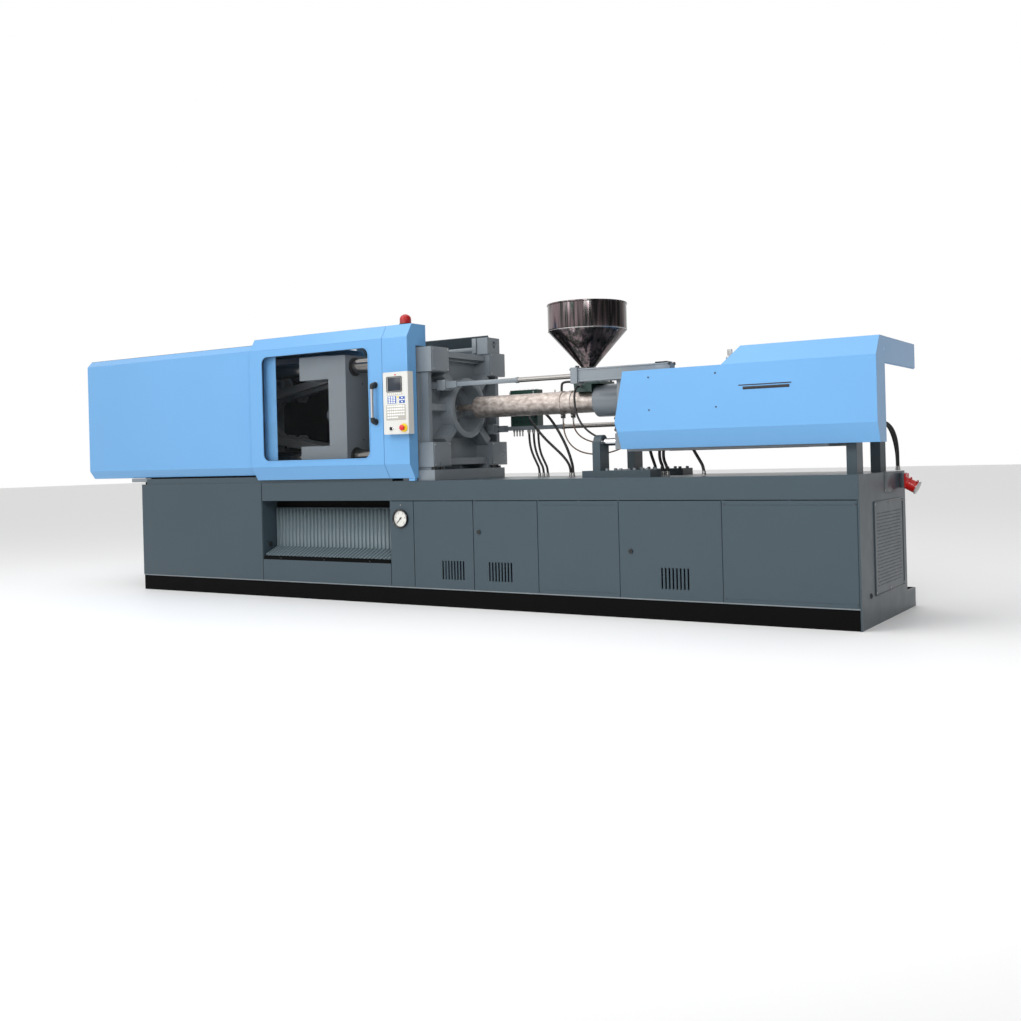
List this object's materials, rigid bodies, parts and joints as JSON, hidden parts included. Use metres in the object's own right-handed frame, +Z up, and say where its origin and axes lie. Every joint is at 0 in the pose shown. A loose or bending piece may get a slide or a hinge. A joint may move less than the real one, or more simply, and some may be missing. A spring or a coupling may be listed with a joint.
{
  "type": "injection moulding machine",
  "caption": "Horizontal toggle-clamp injection moulding machine with sliding guard gates, a barrel and screw under a steel hopper, and a long cabinet bed.",
  "frame": {"origin": "on the floor under the middle of the bed", "axes": "+X runs along the machine from the clamp to the injection unit, +Y from the operator's side to the rear, +Z up"},
  "size_m": [6.7738, 1.395, 2.07],
  "materials": {
    "bed_paint": "semi-gloss",
    "base_paint": "satin",
    "cover_blue": "gloss",
    "panel_white": "satin",
    "platen_paint": "semi-gloss",
    "machined_steel": "ground",
    "chrome": "polished",
    "barrel_steel": "heat tinted",
    "stainless": "mirror polished",
    "hose_rubber": "matte",
    "clear_pane": "clear",
    "stop_red": "gloss",
    "black_plastic": "matte",
    "dial_case": "gloss",
    "motor_paint": "satin",
    "dark_green": "satin",
    "lamp_red": "gloss",
    "link_paint": "as cast",
    "grille_paint": "satin",
    "socket_red": "matte",
    "flap_grey": "matte"
  },
  "bodies": {
    "bed": {"base_frame": "base_paint", "bed_top_frame": "bed_paint", "bed_bulkheads": "bed_paint", "side_panels": "bed_paint", "chute_plate": "machined_steel", "pressure_gauge": "dial_case", "end_panel": "bed_paint", "end_grille": "grille_paint", "power_socket": "socket_red", "pump_motor": "motor_paint", "fixed_platen": "platen_paint", "tie_bars": "chrome", "clamp_cover_front": "cover_blue", "clamp_cover_rear": "cover_blue", "clamp_cover_top": "cover_blue", "clamp_cover_end": "cover_blue", "control_column": "cover_blue", "panel_box": "panel_white", "panel_face": "panel_white", "beacon": "lamp_red", "guide_rods": "chrome", "carriage_rods": "chrome", "water_manifold": "dark_green", "fixed_hoses": "hose_rubber"},
    "needle": {"gauge_needle": "black_plastic"},
    "door_1_leaf": {"door_1": "bed_paint"},
    "door_2_leaf": {"door_2": "bed_paint"},
    "door_3_leaf": {"door_3": "bed_paint"},
    "lock_2": {"door_2_lock": "black_plastic"},
    "lock_3": {"door_3_lock": "black_plastic"},
    "flap": {"socket_flap": "flap_grey"},
    "tail": {"tail_platen": "platen_paint", "clamp_cylinder": "motor_paint"},
    "moving": {"moving_platen": "platen_paint"},
    "ejector_plate": {"ejector": "machined_steel"},
    "cross": {"crosshead": "link_paint"},
    "upper_rear": {"upper_rear_link": "link_paint"},
    "upper_front": {"upper_front_link": "link_paint"},
    "upper_cross": {"upper_cross_link": "link_paint"},
    "lower_rear": {"lower_rear_link": "link_paint"},
    "lower_front": {"lower_front_link": "link_paint"},
    "lower_cross": {"lower_cross_link": "link_paint"},
    "gate": {"front_gate": "cover_blue", "gate_window": "clear_pane", "gate_handle": "chrome"},
    "gate_behind": {"rear_gate": "grille_paint"},
    "stop": {"e_stop_button": "stop_red"},
    "key": {"key_switch": "black_plastic"},
    "carriage": {"injection_base": "platen_paint", "injection_housing": "platen_paint", "barrel": "barrel_steel", "heater_bands": "barrel_steel", "throat_block": "dark_green", "hopper": "stainless", "injection_cover": "cover_blue", "carriage_cylinders": "platen_paint", "barrel_leads": "hose_rubber", "carriage_hoses": "hose_rubber"},
    "drive": {"injection_drive": "platen_paint"},
    "screw_shaft": {"screw": "machined_steel"}
  },
  "joints": [
    {"name": "gauge_needle_turn", "type": "hinge", "parent": "bed", "child": "needle", "pos_m": [-0.244, -0.525, 0.612], "axis": [0, 1, 0], "range_deg": [0, 270]},
    {"name": "door_1_hinge", "type": "hinge", "parent": "bed", "child": "door_1_leaf", "pos_m": [-0.127, -0.508, 0.43], "axis": [0, 0, 1], "range_deg": [-110, 0]},
    {"name": "door_2_hinge", "type": "hinge", "parent": "bed", "child": "door_2_leaf", "pos_m": [0.895, -0.508, 0.43], "axis": [0, 0, 1], "range_deg": [0, 110]},
    {"name": "door_3_hinge", "type": "hinge", "parent": "bed", "child": "door_3_leaf", "pos_m": [2.186, -0.508, 0.43], "axis": [0, 0, 1], "range_deg": [0, 110]},
    {"name": "door_2_lock_turn", "type": "hinge", "parent": "door_2_leaf", "child": "lock_2", "pos_m": [0.428, -0.508, 0.525], "axis": [0, 1, 0], "range_deg": [0, 90]},
    {"name": "door_3_lock_turn", "type": "hinge", "parent": "door_3_leaf", "child": "lock_3", "pos_m": [1.578, -0.508, 0.42], "axis": [0, 1, 0], "range_deg": [0, 90]},
    {"name": "mould_height_slide", "type": "slide", "parent": "bed", "child": "tail", "axis": [1, 0, 0], "range_m": [0, 0.25]},
    {"name": "platen_slide", "type": "slide", "parent": "tail", "child": "moving", "axis": [1, 0, 0], "range_m": [-0.369, 0.041]},
    {"name": "crosshead_slide", "type": "slide", "parent": "tail", "child": "cross", "axis": [1, 0, 0], "range_m": [-0.2686, 0.0316]},
    {"name": "ejector_slide", "type": "slide", "parent": "moving", "child": "ejector_plate", "axis": [1, 0, 0], "range_m": [0, 0.08]},
    {"name": "upper_rear_link_swing", "type": "hinge", "parent": "tail", "child": "upper_rear", "pos_m": [-2.069, 0, 1.7], "axis": [0, 1, 0], "range_deg": [-10.34, 91.49]},
    {"name": "lower_rear_link_swing", "type": "hinge", "parent": "tail", "child": "lower_rear", "pos_m": [-2.069, 0, 1.1], "axis": [0, 1, 0], "range_deg": [-91.49, 10.34]},
    {"name": "upper_front_link_swing", "type": "hinge", "parent": "moving", "child": "upper_front", "pos_m": [-1.16, 0, 1.7], "axis": [0, 1, 0], "range_deg": [-9.79, 1.27]},
    {"name": "lower_front_link_swing", "type": "hinge", "parent": "moving", "child": "lower_front", "pos_m": [-1.16, 0, 1.1], "axis": [0, 1, 0], "range_deg": [-1.27, 9.79]},
    {"name": "upper_cross_link_swing", "type": "hinge", "parent": "cross", "child": "upper_cross", "pos_m": [-2.11589, 0, 1.48], "axis": [0, 1, 0], "range_deg": [-2.14, 17.69]},
    {"name": "lower_cross_link_swing", "type": "hinge", "parent": "cross", "child": "lower_cross", "pos_m": [-2.11589, 0, 1.32], "axis": [0, 1, 0], "range_deg": [-17.69, 2.14]},
    {"name": "front_gate_slide", "type": "slide", "parent": "bed", "child": "gate", "axis": [1, 0, 0], "range_m": [-1.2, 0]},
    {"name": "rear_gate_slide", "type": "slide", "parent": "bed", "child": "gate_behind", "axis": [1, 0, 0], "range_m": [-1.1, 0]},
    {"name": "emergency_stop_press", "type": "slide", "parent": "bed", "child": "stop", "axis": [0, 1, 0], "range_m": [0, 0.006]},
    {"name": "key_switch_turn", "type": "hinge", "parent": "bed", "child": "key", "pos_m": [-0.196, -0.647, 1.25], "axis": [0, 1, 0], "range_deg": [0, 90]},
    {"name": "socket_flap_hinge", "type": "hinge", "parent": "bed", "child": "flap", "pos_m": [3.1207, 0.415, 0.8074], "axis": [0, -1, 0], "range_deg": [0, 100], "stiffness_Nm_per_rad": 0.06, "springref_deg": -22.92},
    {"name": "carriage_slide", "type": "slide", "parent": "bed", "child": "carriage", "axis": [1, 0, 0], "range_m": [-0.1, 0.3]},
    {"name": "injection_slide", "type": "slide", "parent": "carriage", "child": "drive", "axis": [1, 0, 0], "range_m": [0, 0.25]},
    {"name": "screw_spin", "type": "hinge", "parent": "drive", "child": "screw_shaft", "pos_m": [1, 0, 1.4], "axis": [1, 0, 0], "continuous": true}
  ],
  "couplings": [
    {"joint": "crosshead_slide", "follows": "platen_slide", "ratio": 0.7225},
    {"joint": "upper_rear_link_swing", "follows": "platen_slide", "rad_per_m": -4.3179},
    {"joint": "lower_rear_link_swing", "follows": "platen_slide", "rad_per_m": 4.3179},
    {"joint": "upper_front_link_swing", "follows": "platen_slide", "rad_per_m": 0.45379},
    {"joint": "lower_front_link_swing", "follows": "platen_slide", "rad_per_m": -0.45379},
    {"joint": "upper_cross_link_swing", "follows": "platen_slide", "rad_per_m": -0.82729},
    {"joint": "lower_cross_link_swing", "follows": "platen_slide", "rad_per_m": 0.82729}
  ]
}
